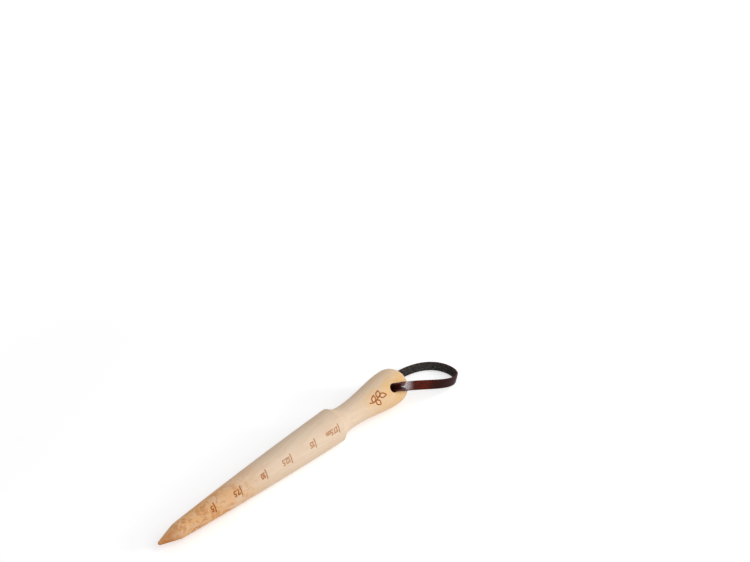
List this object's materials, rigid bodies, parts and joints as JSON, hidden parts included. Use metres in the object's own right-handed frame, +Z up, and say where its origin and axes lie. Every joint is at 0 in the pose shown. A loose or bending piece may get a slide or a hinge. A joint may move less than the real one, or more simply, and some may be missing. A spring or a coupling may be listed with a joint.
{
  "type": "wooden dibber",
  "caption": "Turned wooden dibber with a pointed blade, a burnt depth scale in centimetres, a swelling grip and a leather hanging loop that swings about a hole across the grip.",
  "frame": {"origin": "middle of the bounding box, on the ground that the dibber lies on", "axes": "+X from the tip towards the butt and the loop, +Z up, +Y to the left when looking along +X; one end of the hole points to -Y and up, 38.5 degrees above the horizontal, and the scale faces within 8 degrees of it"},
  "size_m": [0.3149, 0.0462, 0.0327],
  "materials": {
    "beech": "bare turned beech, sanded, fine grain with a warmer tone at the point and the butt",
    "strap_leather": "dark oxblood leather with a glossy pebbled grain outside and a dark grey suede inside"
  },
  "bodies": {
    "dibber": {"wooden_body": "beech"},
    "strap": {"hanging_strap": "strap_leather"}
  },
  "joints": [
    {"name": "strap_swing", "type": "hinge", "parent": "dibber", "child": "strap", "pos_m": [0.08284, 0.00325, 0.01716], "axis": [-0.0231, -0.7826, 0.6221], "range_deg": [-140, 170]}
  ]
}
